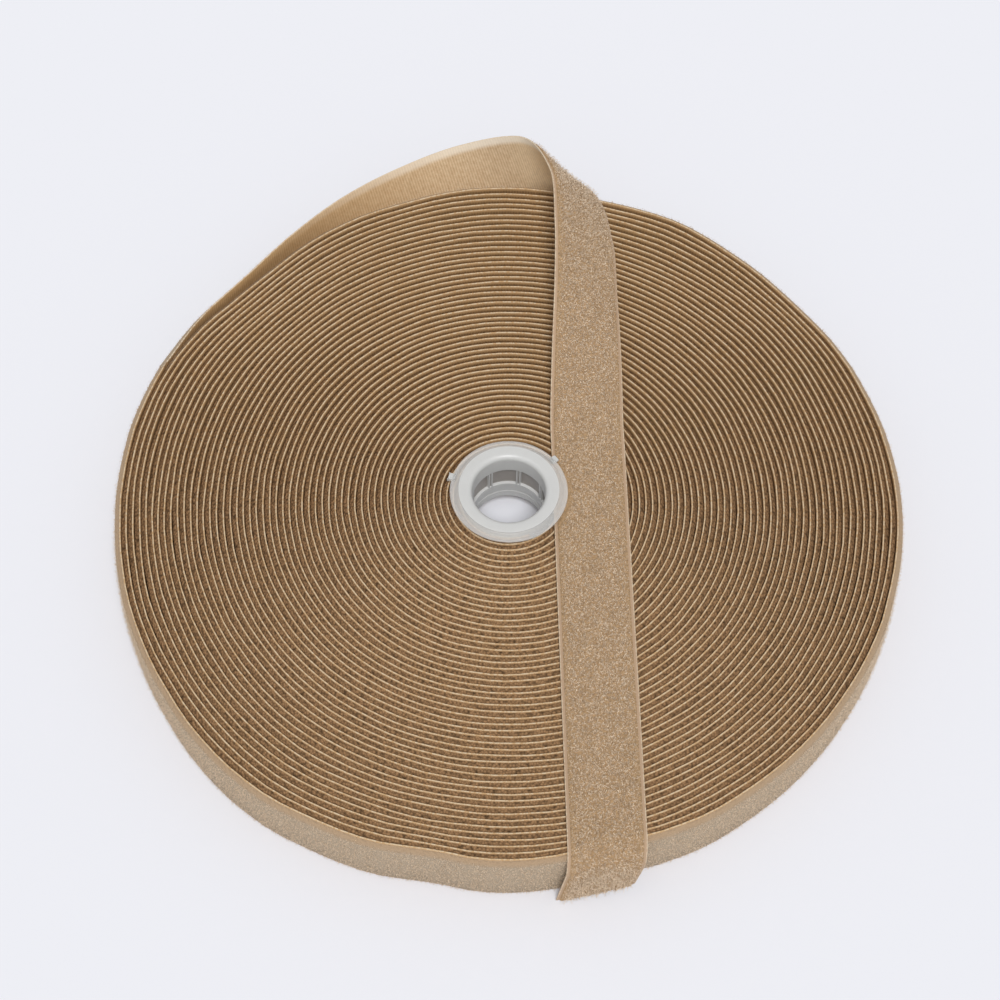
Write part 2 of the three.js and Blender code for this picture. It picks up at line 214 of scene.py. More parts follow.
class TapeSettings(bpy.types.PropertyGroup):
    """Woven tape and its pile"""
    ground: size("Ground", "Thickness of the woven ground", 0.5 * MM)
    margin: size("Margin", "Plain selvedge beside the pile on the free end", 1.1 * MM)
    wound_pile: size("Wound pile", "Height of the pile pressed between two turns", 1.6 * MM)
    wound_margin: size("Wound margin", "Plain selvedge over the pressed pile", 0.7 * MM)
    wound_slope: size("Wound slope", "How far the pressed pile slopes down to the next turn", 1.2 * MM)
    free_pile: size("Free pile", "Height of the matted foot of the pile on the free end", 0.55 * MM)
    loop_width: size("Loop width", "Width of one loop of the pile", 0.45 * MM)
    loop_height: size("Loop height", "Height of one loop above the matted foot", 0.8 * MM)
    yarn: size("Yarn", "Thickness of a loop's yarn", 0.22 * MM)
    tail_loops: level("Tail loops", "Loops on a square centimetre", 300)
    rim_loops: level("Rim loops", "Loops on a square centimetre", 190)
    wobble: size("Wobble", "How far a turn strays from the spiral", 0.16 * MM)
    edge_dip: size("Edge dip", "How far a selvedge lies under the coil's face", 0.45 * MM)
    steps: number("Steps", "Steps in one wound turn", 120, 24)
    weft: size("Weft", "Spacing of the weave's ribs, coarser than the thread so that it shows", 1.0 * MM)
    selvedge: colour("Selvedge", "Very edge of a wound turn", "#d8c2a3")
    backing: colour("Backing", "Bare side of a wound turn, by its edge", "#c09c70")
    # Painted shade: a wound turn's bare side and weave hollows, darker between the turns where shade falls
    shaded_backing: colour("Inner backing", "Bare side of a wound turn, between the turns", "#a5835a")
    shaded_thread: colour("Inner thread", "Hollows between the weave's ribs there", "#6b4f33")
    free_selvedge: colour("Free selvedge", "Very edge of the free end", "#dccab0")
    free_backing: colour("Free backing", "Bare side of the free end", "#e2caa9")
    free_thread: colour("Free thread", "Hollows between the weave's ribs in the free end", "#a98a66")
    # Painted shade and warm bounced light on the free end where it leaves the coil
    warm_backing: colour("Warm backing", "Bare side of the free end by the coil", "#dfba88")
    warm_thread: colour("Warm thread", "Hollows between the weave's ribs there", "#b98f5e")
    # Painted light: the free end's bare side by its twist, paler as if light came through the tape
    lit_backing: colour("Lit backing", "Bare side of the free end by its twist", "#ffe4b8")
    margin_tone: colour("Margin tone", "Plain band beside the free end's pile", "#b99d82")
    # Painted light: a pale band by the free end's upper selvedge, as if lit through
    lit_edge: colour("Lit edge", "Bare side of a free selvedge, which lets light through", "#f2eadb")
    pressed: colour("Pressed pile", "Pile pressed between two turns", "#ad8863")
    bed: colour("Bed", "Matted foot of the free end's pile", "#bd9d78")
    # Painted light: the rim's pile paler and greyer than the free end's bed, as seen edge-on in the floor's
    # light
    lit_rim_bed: colour("Rim bed", "Matted foot of the pile round the rim", "#b2a18c")
    # Painted shade: the rim pile's roots beside the selvedge, seen in the shade of the loops
    shaded_rim_roots: colour("Rim edge", "Roots of that pile, beside the selvedge", "#b0967a")
    # Painted shade at a loop's foot and painted light on its crown, besides the loops' own range of tones
    loop_root: colour("Loop root", "Foot of a loop, and the darkest loops", "#9c7b57")
    loop_tip: colour("Loop tip", "Crown of a loop, and the palest loops", "#fce9d0")


class CoreSettings(bpy.types.PropertyGroup):
    """Moulded core"""
    bore: size("Bore", "Radius of the bore", 12.25 * MM)
    flange: size("Flange", "Thickness of the flange at its rim", 0.9 * MM)
    rim: size("Rim", "Width of the flange outside the crown", 1.75 * MM)
    shoulder: size("Shoulder", "Width of the crown's slope", 1.2 * MM)
    mouth: size("Mouth", "Rounding of the bore's mouth", 1.8 * MM)
    panel_height: size("Panel height", "Height of the thin panels", 8.5 * MM)
    panel_depth: size("Panel depth", "Depth of the thin panels", 1 * MM)
    rib: size("Rib", "Width of the ribs between the panels", 1.5 * MM)
    panels: number("Panels", "Thin panels round the bore", 8, 3)
    lugs: number("Lugs", "Small lugs round the flange", 2, 1)
    resin: colour("Resin", "Natural polypropylene", "#d8d8d6")
    veil: colour("Veil", "Flange, thin enough to show the tape under it", "#fbfaf7")
    # Painted shade: the thin panels carry the shaded tape behind them in their own darker colour
    thin: colour("Thin wall", "Thin panels with the tape behind them", "#a8a19b")
    film: colour("Film", "Adhesive strip under the first turn", "#e6dfcd")


class StageSettings(bpy.types.PropertyGroup):
    """Camera, floor and light"""
    azimuth: level("Azimuth", "Camera's turn about Z, in degrees", -2.06)
    elevation: level("Elevation", "Camera's height, in degrees", 58.934)
    roll: level("Roll", "Camera's turn about its view, in degrees", 0.875)
    distance: size("Distance", "From the camera to its target", 833.7 * MM)
    lens: level("Lens", "Focal length on a 36 mm sensor, in mm", 86.4)
    dome: level("Dome", "Level of the light from all round", 0.4)
    lamp: level("Lamp", "Level of the soft light from the camera's side", 0.62)
    floor: colour("Floor", "Pale floor and backdrop", "#ecedf3")


# Nodes


def add_node(tree, kind, settings=None, links=None):
    """Adds a node, sets its properties, and sets or links its inputs by name or number"""
    node = tree.nodes.new(kind)
    for name, value in (settings or {}).items():
        setattr(node, name, value)
    for key, value in (links or {}).items():
        socket = node.inputs[key]
        if isinstance(key, str):
            socket = next(s for s in node.inputs if s.name == key and s.enabled)
        if isinstance(value, bpy.types.NodeSocket):
            tree.links.new(value, socket)
        else:
            socket.default_value = value
    return node


def result(node):
    """First output of a node that is in use"""
    return next(s for s in node.outputs if s.enabled)


def put(tree, kind, links=None, settings=None):
    """Adds a node and gives its first output"""
    return result(add_node(tree, kind, settings, links))


def math_node(tree, operation, *values):
    return put(tree, "ShaderNodeMath", dict(enumerate(values)), {"operation": operation})


def times(tree, a, b, plus=None):
    """Product of two values, with a third added where one is given"""
    if plus is None:
        return math_node(tree, "MULTIPLY", a, b)
    return math_node(tree, "MULTIPLY_ADD", a, b, plus)


def mixed(tree, factor, low, high):
    """Colour between two others"""
    return put(tree, "ShaderNodeMix", {"Factor": factor, "A": low, "B": high}, {"data_type": "RGBA"})


def ranged(tree, value, start, end, low=0.0, high=1.0, kind="SMOOTHSTEP"):
    """Change from low to high while a value goes from start to end"""
    return put(tree, "ShaderNodeMapRange", {
        "Value": value, "From Min": start, "From Max": end, "To Min": low, "To Max": high},
        {"interpolation_type": kind})


def noise(tree, vector, grain, detail, roughness=0.5, distortion=0.0):
    """Level of a noise with grains of about this size"""
    return add_node(tree, "ShaderNodeTexNoise", links={
        "Vector": vector, "Scale": 1 / grain, "Detail": detail,
        "Roughness": roughness, "Distortion": distortion}).outputs["Fac"]


def joined(tree, **axes):
    """Vector from its X, Y and Z"""
    return put(tree, "ShaderNodeCombineXYZ", axes)


def split(tree, vector):
    """X, Y and Z of a vector"""
    return add_node(tree, "ShaderNodeSeparateXYZ", links={"Vector": vector}).outputs


# Materials


def new_material(name):
    material = bpy.data.materials.new(name)
    material.use_nodes = True
    return material, material.node_tree, material.node_tree.nodes["Principled BSDF"]


def finished(tree, shader, shade, values, relief=None):
    """Links a material's colour, and its relief as (height, strength, depth), and sets the rest"""
    tree.links.new(shade, shader.inputs["Base Color"])
    if relief:
        bump = put(tree, "ShaderNodeBump", dict(zip(("Height", "Strength", "Distance"), relief)))
        tree.links.new(bump, shader.inputs["Normal"])
    for name, value in values.items():
        shader.inputs[name].default_value = value


def darker(shade, share):
    return [share * c for c in shade[:3]] + [1.0]


def tape_place(tree):
    """Place on the tape as a vector, and its parts: across the tape, along it and outwards"""
    place = add_node(tree, "ShaderNodeAttribute", {"attribute_name": "tape_place"}).outputs["Vector"]
    across, along, depth = split(tree, place)
    return place, across, along, depth


def edge_distance(tree, across):
    """Distance from the nearer selvedge"""
    return math_node(tree, "SUBTRACT", TAPE_WIDTH / 2, math_node(tree, "ABSOLUTE", across))


def staged(tree, along, tone, shade, stages):
    """A shade that others give way to: each stage has a low and a high one, and where it ends"""
    for low, high, start, end in stages:
        shade = mixed(tree, ranged(tree, along, start, end), mixed(tree, tone, low, high), shade)
    return shade


def woven_ground(name, tape, shades):
    """Nylon ground weave: ribs of weft across the tape, finer warp along it, a smoother pale selvedge"""
    material, tree, shader = new_material(name)
    place, across, along, depth = tape_place(tree)

    # The weft's ribs stand across the tape, and the warp, at half that spacing, along it
    warp_share, swing = 0.45, 0.32
    weave_share, grit_share, darkening = 0.55, 0.9, 0.22
    rib = math_node(tree, "SINE", times(tree, along, 2 * math.pi / tape.weft))
    warp = math_node(tree, "SINE", times(tree, across, 4 * math.pi / tape.weft))
    weave = times(tree, times(tree, warp, warp_share, rib), swing, 0.5)
    grit = noise(tree, place, grain=1.3 * MM, detail=3.0, roughness=0.65)
    tone = times(tree, grit, grit_share, times(tree, weave, weave_share))
    tone = math_node(tree, "SUBTRACT", tone, darkening)

    # Painted shade and light: on a wound turn the bare side darkens away from its selvedge into painted
    # shade between the turns, and on the free end a painted light pales it towards the upper selvedge alone
    from_edge = edge_distance(tree, across)
    from_upper = math_node(tree, "SUBTRACT", TAPE_WIDTH / 2, across)
    near, far, most = shades["reach"]
    band = ranged(tree, from_upper if shades["before"] else from_edge, near, far, most, 0.0)
    shade = mixed(tree, tone, shades["hollow"], shades["rib"])
    shade = staged(tree, along, tone, shade, shades["lit"])
    shade = mixed(tree, band, shade, shades["band"])
    shade = staged(tree, along, tone, shade, shades["before"])
    outer = math_node(tree, "GREATER_THAN", depth, INNER_FACE + tape.ground / 2)
    shade = mixed(tree, outer, shade, shades["face"])

    # The edge's own thread comes and goes, so that its pale line looks dotted
    line = ranged(tree, from_edge, 0.15 * MM, 0.5 * MM, low=1.0, high=0.0)
    specks = noise(tree, place, grain=0.8 * MM, detail=2.0, roughness=0.7)
    dots = ranged(tree, specks, 0.4, 0.58, low=0.1, kind="LINEAR")
    shade = mixed(tree, times(tree, line, dots), shade, shades["edge"])
    finished(tree, shader, shade, {"Roughness": 0.85, "Specular IOR Level": 0.2}, (tone, 0.5, 0.12 * MM))
    return material


def matted_pile(name, low, high, sheen=0.0, fade=0.0, before=(), edge=None):
    """Matted nylon loops, too close to tell apart: mottled, with painted shade in the hollows between tufts
    and deeper in by a fade.

    Before gives other colours, and the stretch of the tape over which they give way to these. Edge is the
    colour of the pile's roots beside the selvedge, a painted shade.
    """
    material, tree, shader = new_material(name)
    place, across, along, _ = tape_place(tree)
    tufts = put(tree, "ShaderNodeTexVoronoi", {"Vector": place, "Scale": 1 / TUFT, "Randomness": 1.0})
    height = math_node(tree, "SUBTRACT", 1.0, tufts)
    brighter, unshaded_level = 0.45, 1.2
    patches = noise(tree, place, grain=3 * TUFT, detail=4.0, roughness=0.7)
    patches = math_node(tree, "ADD", patches, brighter)
    from_edge = edge_distance(tree, across)
    painted_shade = ranged(tree, from_edge, PILE_EDGE, SHADE_END, unshaded_level, unshaded_level - fade, "LINEAR")
    tone = times(tree, times(tree, height, patches), painted_shade)
    shade = mixed(tree, tone, low, high)
    # Painted shade of the roots beside the selvedge
    if edge:
        shade = mixed(tree, ranged(tree, from_edge, PILE_EDGE, SHADED_ROOTS_END), edge, shade)
    shade = staged(tree, along, tone, shade, before)
    finished(tree, shader, shade, {
        "Roughness": 0.95, "Specular IOR Level": 0.1,
        "Sheen Weight": sheen, "Sheen Roughness": 0.5, "Sheen Tint": high}, (height, 0.8, 0.4 * MM))
    return material


def napped_loops(name, tape):
    """Loops of drawn nylon, a little shiny: paler on the crown and darker at the foot as painted light and
    shade, and no two of quite the same tone
    """
    material, tree, shader = new_material(name)
    place = add_node(tree, "ShaderNodeUVMap", {"uv_map": "OFBake"}).outputs["UV"]
    column, height, _ = split(tree, place)
    # Painted light and shade: a share of the loop's height pales its crown and darkens its foot
    own_tone, crown, root = 0.8, 0.3, -0.05
    tone = times(tree, column, own_tone, times(tree, height, crown, root))
    finished(tree, shader, mixed(tree, tone, tape.loop_root, tape.loop_tip), {
        "Roughness": 0.6, "Specular IOR Level": 0.4,
        "Sheen Weight": 0.25, "Sheen Roughness": 0.45, "Sheen Tint": tape.loop_tip})
    return material


def polypropylene(name, tint, clear, cover):
    """Natural polypropylene, injection moulded: milky, satin, with faint flow marks"""
    material, tree, shader = new_material(name)
    place = add_node(tree, "ShaderNodeTexCoord").outputs["Object"]
    flow = noise(tree, place, grain=6 * MM, detail=3.0, distortion=0.6)
    finished(tree, shader, mixed(tree, flow, darker(tint, 0.94), tint), {
        "Roughness": 0.35, "IOR": 1.49, "Subsurface Weight": 0.3, "Subsurface Radius": (1.0, 1.0, 1.0),
        "Subsurface Scale": 1.5 * MM, "Transmission Weight": clear, "Alpha": cover}, (flow, 0.12, 0.3 * MM))
    return material


def adhesive_film(name, core):
    """Transfer tape: a thin yellowed film with trapped air"""
    material, tree, shader = new_material(name)
    place = add_node(tree, "ShaderNodeTexCoord").outputs["Object"]
    air = noise(tree, place, grain=2 * MM, detail=2.0)
    finished(tree, shader, mixed(tree, air, darker(core.film, 0.85), core.film), {"Roughness": 0.55})
    return material


def kept_material(make, name, *values, **options):
    """A material by its name, made the first time that it is asked for"""
    return bpy.data.materials.get(name) or make(name, *values, **options)


def tape_materials(tape):
    """The tape's materials by the side of the tape that they cover"""
    # Wound turns: the backing by each selvedge gives way to painted shade deeper between the turns
    wound_shades = {
        "hollow": tape.shaded_thread, "rib": tape.shaded_backing, "band": tape.backing,
        "face": tape.backing, "edge": tape.selvedge, "reach": (0.4 * MM, 1.9 * MM, 1.0),
        "lit": (), "before": ()}
    # By the coil the free end keeps the wound turns' painted shade for a while, then a warm painted light,
    # and by its twist it has a painted light as if lit through
    free_shades = {
        "hollow": tape.free_thread, "rib": tape.free_backing, "band": tape.lit_edge,
        "face": tape.margin_tone, "edge": tape.free_selvedge, "reach": (1.8 * MM, 3.8 * MM, 0.65),
        # Painted light on the bare side by the twist
        "lit": ((tape.free_backing, tape.lit_backing, *LIT_FALL),
                (tape.free_thread, tape.free_backing, *LIT_RISE)),
        # Painted: the wound turns' shade at the start, then warm light bounced off the coil
        "before": ((tape.warm_thread, tape.warm_backing, BROWN_END, WARM_END),
                   (tape.shaded_thread, tape.backing, 0.0, BROWN_END))}
    # The pile that the free end has just left is still flat and brown, and the free end's bed starts in the
    # rim's grey, its painted light
    turn = 2 * math.pi * OUTER_TURN_RADIUS
    # Painted shade: the pressed pile's very dark hollows, and its fade inwards between the turns
    hollow = darker(tape.pressed, 0.2)
    # Painted light on the rim's pile, and on the free end's bed where it starts
    lit_rim_low = darker(tape.lit_rim_bed, 0.85)
    flat_start, flat_end = -0.96 * turn, -0.8 * turn
    flat = ((hollow, darker(tape.pressed, 0.8), flat_start, flat_end),)
    grey = ((lit_rim_low, tape.lit_rim_bed, 0.0, GREY_END),)
    return {
        "Ground": kept_material(woven_ground, "wound_nylon_ground", tape, wound_shades),
        "Free": kept_material(woven_ground, "free_nylon_ground", tape, free_shades),
        "Pressed": kept_material(matted_pile, "pressed_nylon_pile", hollow, tape.pressed, fade=0.5),
        "Rim": kept_material(
            matted_pile, "lit_rim_nylon_bed", lit_rim_low, tape.lit_rim_bed,
            sheen=0.4, before=flat, edge=tape.shaded_rim_roots),
        "Bed": kept_material(
            matted_pile, "matted_nylon_bed", darker(tape.bed, 0.6), tape.bed, sheen=0.4, before=grey),
    }


# Tape section and stations


def tape_section(tape, pile_height, margin, slope, spare=0):
    """Closed outline of the tape as (depth, across, part), with part 1 on the pile. Depth is outwards"""
    half = TAPE_WIDTH / 2
    radius = tape.ground / 2
    middle = INNER_FACE + radius
    foot = half - margin
    top = INNER_FACE + tape.ground
    shoulder = top + 0.6 * pile_height
    steps = 4
    points = []
    for i in range(steps + 1):
        turn = math.pi * (1 + i / steps)
        points.append((middle + radius * math.cos(turn), -half + radius + radius * math.sin(turn), 0))
    points.append((top, -foot, 1))
    points.append((shoulder, -foot + slope / 2, 1))
    for i in range(spare + 2):
        points.append((top + pile_height, (foot - slope) * (2 * i / (spare + 1) - 1), 1))
    points.append((shoulder, foot - slope / 2, 1))
    points.append((top, foot, 1))
    for i in range(steps + 1):
        turn = math.pi * i / steps
        points.append((middle + radius * math.cos(turn), half - radius + radius * math.sin(turn), 0))
    for i in range(1, spare + 1):
        points.append((INNER_FACE, half * (1 - 2 * i / (spare + 1)), 0))
    return points


def through_points(points, share):
    """Point of a smooth curve through points of any dimension, at a share of their number"""
    last = len(points) - 1
    place = share * last
    i = min(int(place), last - 1)
    t = place - i
    p1, p2 = points[i], points[i + 1]
    p0 = points[i - 1] if i > 0 else 2 * p1 - p2
    p3 = points[i + 2] if i + 2 <= last else 2 * p2 - p1
    t0, t1 = (p2 - p0) / 2, (p3 - p1) / 2
    return p1 + t * t0 + t * t * (3 * (p2 - p1) - 2 * t0 - t1) + t ** 3 * (2 * (p1 - p2) + t0 + t1)


def round_core(radius, degrees, height):
    angle = math.radians(degrees)
    return AXIS + Vector((radius * math.cos(angle), radius * math.sin(angle), height))


def rim_stray(degrees):
    """How far the rim strays from round at an angle"""
    stray = 0.0
    for place, width, most, _ in OUT_OF_ROUND:
        off = (degrees - place + 180) % 360 - 180
        stray += most * math.exp(-(off / width) ** 2)
    return stray


def turn_end(piece):
    """Radius of the tape's middle at the outer end of a wound piece"""
    near = 1e-5
    places = [item.vector for item in piece.data.attributes["tape_place"].data]
    last = max(place.y for place in places)
    bare = [vert.co for vert, place in zip(piece.data.vertices, places)
            if place.y > last - near and place.z < INNER_FACE + near]
    return sum((point.xy - AXIS.xy).length for point in bare) / len(bare) - INNER_FACE


def tail_route(end_radius):
    """Middle points of the free end with the lean in degrees, from the coil to the hinge line"""
    route = []
    end = math.degrees(END_ANGLE)
    route.append((round_core(end_radius, end, TAPE_WIDTH / 2), 0))
    for angle, outside, rise, lean in LOOP_STATIONS:
        follows = TAIL_FOLLOWS * rim_stray(angle) * max(0.0, 1 - outside / FOLLOW_REACH)
        radius = COIL_RADIUS + outside * MM + follows
        route.append((round_core(radius, angle, TAPE_WIDTH / 2 + rise * MM), lean))
    for inside, aside, rise, lean in DESCENT_STATIONS:
        place = (STRAP_OFFSET + aside * MM, COIL_RADIUS - inside * MM, STRAP_HEIGHT + rise * MM)
        route.append((AXIS + Vector(place), lean))
    for short, rise, lean in SETTLING_STATIONS:
        place = (STRAP_OFFSET, FLANGE_RADIUS + short * MM, STRAP_HEIGHT + rise * MM)
        route.append((AXIS + Vector(place), lean))
    route.append((Vector((AXIS.x + STRAP_OFFSET, HINGE.y, STRAP_HEIGHT)), -90))
    return [Vector((*point, lean)) for point, lean in route]


def tail_stations(steps, end_radius):
    """(middle, across, out) along the free end to the hinge line, with across as long as half the tape"""
    route = tail_route(end_radius)
    count = steps * (len(route) - 1)
    up = Vector((0, 0, 1))
    near = 1e-4
    stations = []
    for i in range(count + 1):
        share = i / count
        here = through_points(route, share)
        ahead = through_points(route, min(1.0, share + near)).xyz
        behind = through_points(route, max(0.0, share - near)).xyz
        along = (ahead - behind).normalized()
        left = up.cross(along).normalized()
        lean = math.radians(here.w)
        across = along.cross(left) * math.cos(lean) + left * math.sin(lean)
        stations.append((here.xyz, across * TAPE_WIDTH / 2, across.cross(along)))
    return stations


def strap_stations(spacing):
    """Stations of the strap from the hinge line over the front rim, on a skewed fold, to its slanted end"""
    up = Vector((0, 0, 1))
    outward = Vector((math.sin(FOLD_SKEW), -math.cos(FOLD_SKEW), 0))
    fold = Vector((math.cos(FOLD_SKEW), math.sin(FOLD_SKEW), 0))
    slip = -math.tan(FOLD_SKEW)
    square = Vector((-TAPE_WIDTH / 2, 0, 0))
    oblique = fold * (-TAPE_WIDTH / 2 / math.cos(FOLD_SKEW))
    drop_radius = COIL_RADIUS + DROP_STANDOFF + SOLID_THICKNESS / 2
    bend_y = -(drop_radius - BEND_RADIUS - STRAP_OFFSET * outward.x) / math.cos(FOLD_SKEW)
    hinge = Vector((AXIS.x + STRAP_OFFSET, HINGE.y, STRAP_HEIGHT))
    bend = Vector((AXIS.x + STRAP_OFFSET, AXIS.y + bend_y, STRAP_HEIGHT))
    stations = []
    runs = round((bend - hinge).length / spacing)
    for i in range(1, runs):
        stations.append((hinge.lerp(bend, i / runs), square.lerp(oblique, i / runs), up))
    bends = 12
    for i in range(bends + 1):
        turn = math.pi / 2 * i / bends
        out = outward * math.sin(turn) + up * math.cos(turn)
        middle = bend - up * BEND_RADIUS + out * BEND_RADIUS + fold * (slip * BEND_RADIUS * turn)
        stations.append((middle, oblique, out))
    foot = STRAP_HEIGHT - BEND_RADIUS - DROP_END_HEIGHT
    last = stations[-1][0]
    drops = round(foot / spacing)
    for i in range(1, drops + 1):
        way = foot * i / drops
        slant = up * (END_SLANT * i / drops)
        stations.append((last - up * way + fold * (slip * way) + slant, oblique - slant, outward))
    return stations


def lengths(stations):
    """How far along the tape each station is"""
    found = [0.0]
    for (here, _, _), (ahead, _, _) in zip(stations, stations[1:]):
        found.append(found[-1] + (ahead - here).length)
    return found


def new_mesh(name, verts, edges=(), faces=(), materials=(), slots=()):
    """Mesh of points, edges and faces, with its materials and the slot of each face"""
    mesh = bpy.data.meshes.new(name)
    mesh.from_pydata(verts, edges, faces)
    for material in materials:
        mesh.materials.append(material)
    if slots:
        mesh.polygons.foreach_set("material_index", slots)
    return mesh


def new_object(name, mesh):
    piece = bpy.data.objects.new(name, mesh)
    bpy.context.scene.collection.objects.link(piece)
    return piece


def fullness(tape, along):
    """Height of the free end's pile as a share of its own. It starts as high as the wound pile"""
    left = max(0.0, 1 - along / PILE_SETTLES)
    return 1 + (tape.wound_pile / tape.free_pile - 1) * left * left * (3 - 2 * left)


def swept_tape(name, stations, section, tape, materials):
    """Closed mesh of the tape through stations, with its own place on the tape in an attribute"""
    verts, places, faces, parts = [], [], [], []
    top = INNER_FACE + tape.ground
    for (middle, across, out), along in zip(stations, lengths(stations)):
        for depth, side, _ in section:
            raised = depth + max(0.0, depth - top) * (fullness(tape, along) - 1)
            verts.append(middle + across * (2 * side / TAPE_WIDTH) + out * raised)
            places.append((side, along, depth))
    n = len(section)
    for i in range(len(stations) - 1):
        for j in range(n):
            k = (j + 1) % n
            faces.append((n * i + j, n * i + n + j, n * i + n + k, n * i + k))
            parts.append(1 if section[j][2] and section[k][2] else 0)
    faces.append(tuple(range(n)))
    faces.append(tuple(reversed(range(n * (len(stations) - 1), n * len(stations)))))
    parts.extend((0, 0))
    mesh = new_mesh(name, verts, (), faces, materials, parts)
    layer = mesh.attributes.new("tape_place", "FLOAT_VECTOR", "POINT")
    layer.data.foreach_set("vector", [x for place in places for x in place])
    mesh.shade_smooth()
    mesh.set_sharp_from_angle(angle=CUT_ANGLE)
    return new_object(name, mesh)


# Geometry Nodes


def new_tree(name, inputs):
    """A geometry tree with a geometry input and output and named inputs of these socket types"""
    tree = bpy.data.node_groups.new(name, "GeometryNodeTree")
    tree.interface.new_socket(name="Geometry", in_out="INPUT", socket_type="NodeSocketGeometry")
    for label, kind in inputs.items():
        tree.interface.new_socket(name=label, in_out="INPUT", socket_type="NodeSocket" + kind)
    tree.interface.new_socket(name="Geometry", in_out="OUTPUT", socket_type="NodeSocketGeometry")
    return tree, tree.nodes.new("NodeGroupInput").outputs


def grown(name, mesh, tree, values):
    """A plain mesh object: what the tree makes of a mesh with these inputs"""
    seed = new_object(name + "_seed", mesh)
    modifier = seed.modifiers.new("shape", "NODES")
    modifier.node_group = tree
    for item in tree.interface.items_tree:
        if item.in_out == "INPUT" and item.name in values:
            modifier[item.identifier] = values[item.name]
    depsgraph = bpy.context.evaluated_depsgraph_get()
    made = bpy.data.meshes.new_from_object(seed.evaluated_get(depsgraph))
    made.name = name
    bpy.data.objects.remove(seed)
    return new_object(name, made)


def captured(tree, geometry, kind, value):
    """A geometry and a value of its points, as they are before it changes"""
    node = add_node(tree, "GeometryNodeCaptureAttribute", {"domain": "POINT"}, {"Geometry": geometry})
    node.capture_items.new(kind, "Kept")
    tree.links.new(value, node.inputs["Kept"])
    return node.outputs["Geometry"], node.outputs["Kept"]


def stored(tree, geometry, name, kind, domain, value):
    """A geometry with a named attribute"""
    return put(tree, "GeometryNodeStoreNamedAttribute", {
        "Geometry": geometry, "Name": name, "Value": value}, {"data_type": kind, "domain": domain})


def attribute(tree, name, kind):
    return put(tree, "GeometryNodeInputNamedAttribute", {"Name": name}, {"data_type": kind})


def chosen(tree, kind, low, high, seed):
    """A random value between two others"""
    return put(tree, "FunctionNodeRandomValue", {
        "Min": low, "Max": high, "Seed": seed}, {"data_type": kind})


def covered(tree, geometry, material, where=True):
    """A geometry with a material where it is asked for"""
    return put(tree, "GeometryNodeSetMaterial", {
        "Geometry": geometry, "Selection": where, "Material": material})


PATH_INPUTS = {"First turn": "Float", "Turns": "Float", "Steps": "Int", "Wobble": "Float"}


def wound_path(tree, given):
    """Nodes for a stretch of the wound spiral, outwards, and for the turns left at its points"""
    turns = given["Turns"]
    points = put(tree, "GeometryNodeResampleCurve", {
        "Curve": put(tree, "GeometryNodeCurvePrimitiveLine"),
        "Count": times(tree, given["Steps"], turns, 1.0)}, {"mode": "COUNT"})
    share = add_node(tree, "GeometryNodeSplineParameter").outputs["Factor"]
    straight, left = captured(tree, points, "FLOAT", math_node(
        tree, "SUBTRACT", given["First turn"], times(tree, share, turns)))
    angle = times(tree, left, 2 * math.pi, END_ANGLE)
    radius = times(tree, left, -TURN_PITCH, OUTER_TURN_RADIUS)

    # The coil is out of round
    stray = 0.0
    inside = math_node(tree, "SUBTRACT", OUTER_TURN_RADIUS, radius)
    for degrees, width, most, reach in OUT_OF_ROUND:
        off = math_node(tree, "SUBTRACT", angle, math.radians(degrees))
        off = math_node(tree, "WRAP", off, math.pi, -math.pi)
        off = math_node(tree, "POWER", math_node(tree, "DIVIDE", off, math.radians(width)), 2.0)
        swell = math_node(tree, "EXPONENT", times(tree, off, -1.0))
        fade = math_node(tree, "MAXIMUM", times(tree, inside, -1 / reach, 1.0), 0.0)
        swell = times(tree, swell, math_node(tree, "POWER", fade, FADE_POWER))
        stray = times(tree, swell, most, stray)
    radius = math_node(tree, "ADD", radius, stray)

    # Slow waves that many turns share, and short ones of each turn's own
    cosine = math_node(tree, "COSINE", angle)
    sine = math_node(tree, "SINE", angle)
    for round_scale, turn_scale, amount in ((4.0, 0.3, 10.0), (9.0, 2.1, 3.0)):
        where = joined(tree, X=times(tree, cosine, round_scale), Y=times(tree, sine, round_scale),
                       Z=times(tree, left, turn_scale))
        wander = times(tree, noise(tree, where, grain=1.0, detail=2.0, roughness=0.55), amount, -amount / 2)
        wander = times(tree, wander, math_node(tree, "DIVIDE", radius, OUTER_TURN_RADIUS))
        radius = times(tree, wander, given["Wobble"], radius)

    place = joined(tree, X=times(tree, radius, cosine, AXIS.x), Y=times(tree, radius, sine, AXIS.y),
                   Z=TAPE_WIDTH / 2)
    placed = put(tree, "GeometryNodeSetPosition", {"Geometry": straight, "Position": place})
    return put(tree, "GeometryNodeSetCurveNormal", {"Curve": placed}, {"mode": "Z_UP"}), left


